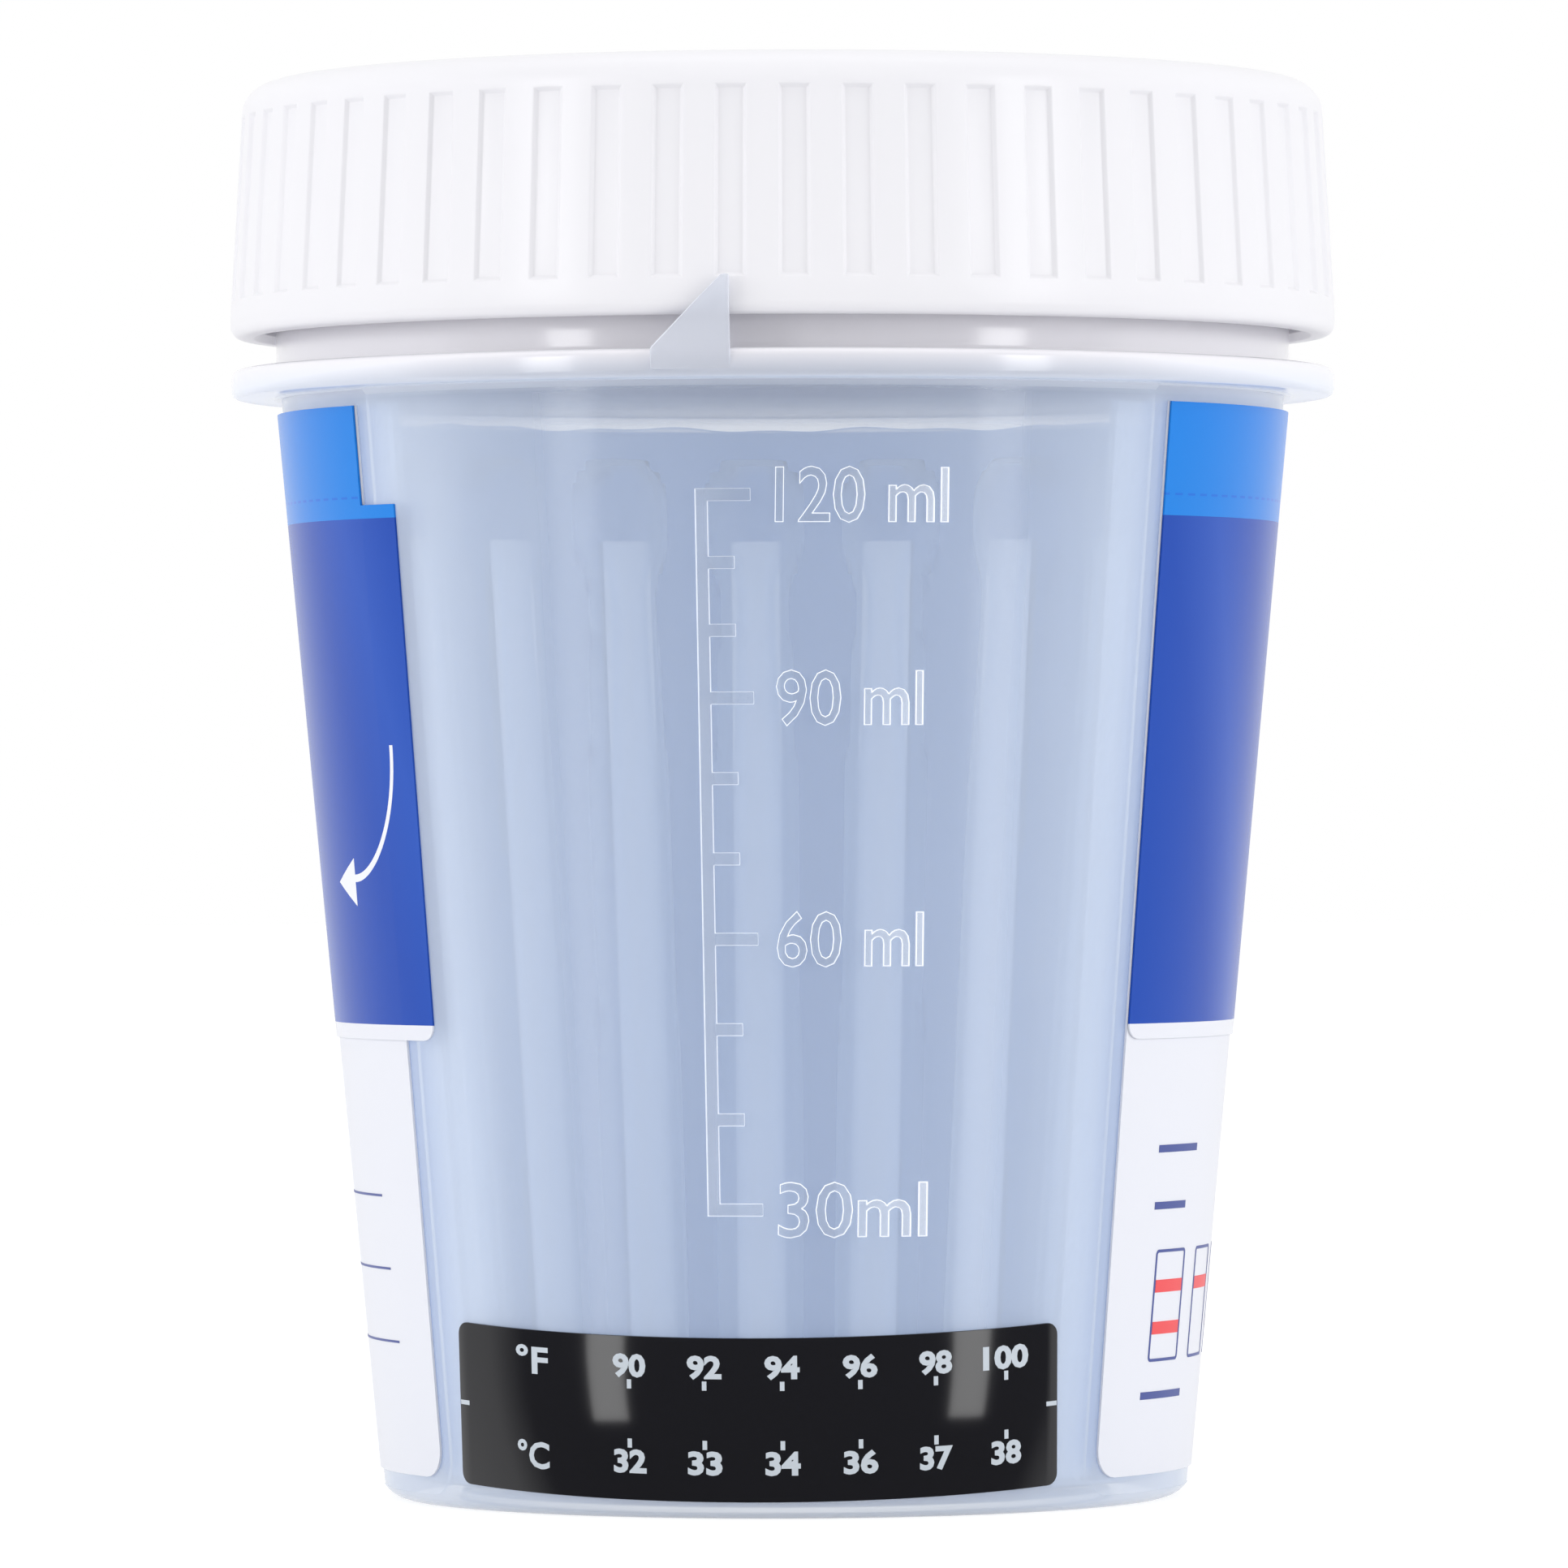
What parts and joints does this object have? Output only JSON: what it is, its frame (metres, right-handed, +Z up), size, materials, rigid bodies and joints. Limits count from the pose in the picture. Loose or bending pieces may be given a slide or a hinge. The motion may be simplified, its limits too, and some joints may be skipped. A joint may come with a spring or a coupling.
{
  "type": "drug test cup",
  "caption": "Closed specimen cup with a ribbed screw cap, a fluted holder of test strips inside, a peel-off label and a temperature strip.",
  "frame": {"origin": "on the cup's axis, in the plane of its foot", "axes": "+Z up along the cup's axis, -Y towards the front with the volume scale, +X to its right seen from the front"},
  "size_m": [0.075, 0.076, 0.0958],
  "materials": {
    "cup_plastic": "clear to slightly milky moulded polypropylene, smooth, with soft gloss",
    "cap_plastic": "white moulded plastic with a soft gloss",
    "liner_foam": "matt foamed sealing disc",
    "holder_plastic": "milky thin moulded plastic, smooth",
    "label_film": "white printed film, satin",
    "peel_film": "printed film in two blues, satin",
    "thermo_film": "black printed film, glossy",
    "strip_card": "smooth white backing card",
    "strip_membrane": "matt white membrane",
    "strip_pad": "fibrous absorbent pad"
  },
  "bodies": {
    "cup": {"cup_body": "cup_plastic", "strip_holder": "holder_plastic", "base_label": "label_film", "peel_label": "peel_film", "temperature_strip": "thermo_film", "strip_01_card": "strip_card", "strip_01_membrane": "strip_membrane", "strip_01_pads": "strip_pad", "strip_02_card": "strip_card", "strip_02_membrane": "strip_membrane", "strip_02_pads": "strip_pad", "strip_03_card": "strip_card", "strip_03_membrane": "strip_membrane", "strip_03_pads": "strip_pad", "strip_04_card": "strip_card", "strip_04_membrane": "strip_membrane", "strip_04_pads": "strip_pad", "strip_05_card": "strip_card", "strip_05_membrane": "strip_membrane", "strip_05_pads": "strip_pad", "strip_06_card": "strip_card", "strip_06_membrane": "strip_membrane", "strip_06_pads": "strip_pad", "strip_07_card": "strip_card", "strip_07_membrane": "strip_membrane", "strip_07_pads": "strip_pad", "strip_08_card": "strip_card", "strip_08_membrane": "strip_membrane", "strip_08_pads": "strip_pad", "strip_09_card": "strip_card", "strip_09_membrane": "strip_membrane", "strip_09_pads": "strip_pad", "strip_10_card": "strip_card", "strip_10_membrane": "strip_membrane", "strip_10_pads": "strip_pad", "strip_11_card": "strip_card", "strip_11_membrane": "strip_membrane", "strip_11_pads": "strip_pad", "strip_12_card": "strip_card", "strip_12_membrane": "strip_membrane", "strip_12_pads": "strip_pad", "strip_13_card": "strip_card", "strip_13_membrane": "strip_membrane", "strip_13_pads": "strip_pad", "strip_14_card": "strip_card", "strip_14_membrane": "strip_membrane", "strip_14_pads": "strip_pad"},
    "liner": {"cap_liner": "liner_foam"},
    "cap": {"screw_cap": "cap_plastic"}
  },
  "joints": [
    {"name": "cap_rise", "type": "slide", "parent": "cup", "child": "liner", "axis": [0, 0, 1], "range_m": [0, 0.00601]},
    {"name": "cap_turn", "type": "hinge", "parent": "liner", "child": "cap", "pos_m": [0, 0, 0.09], "axis": [0, 0, 1], "range_deg": [0, 540]}
  ],
  "couplings": [
    {"joint": "cap_rise", "follows": "cap_turn", "m_per_rad": 0.00063662}
  ]
}
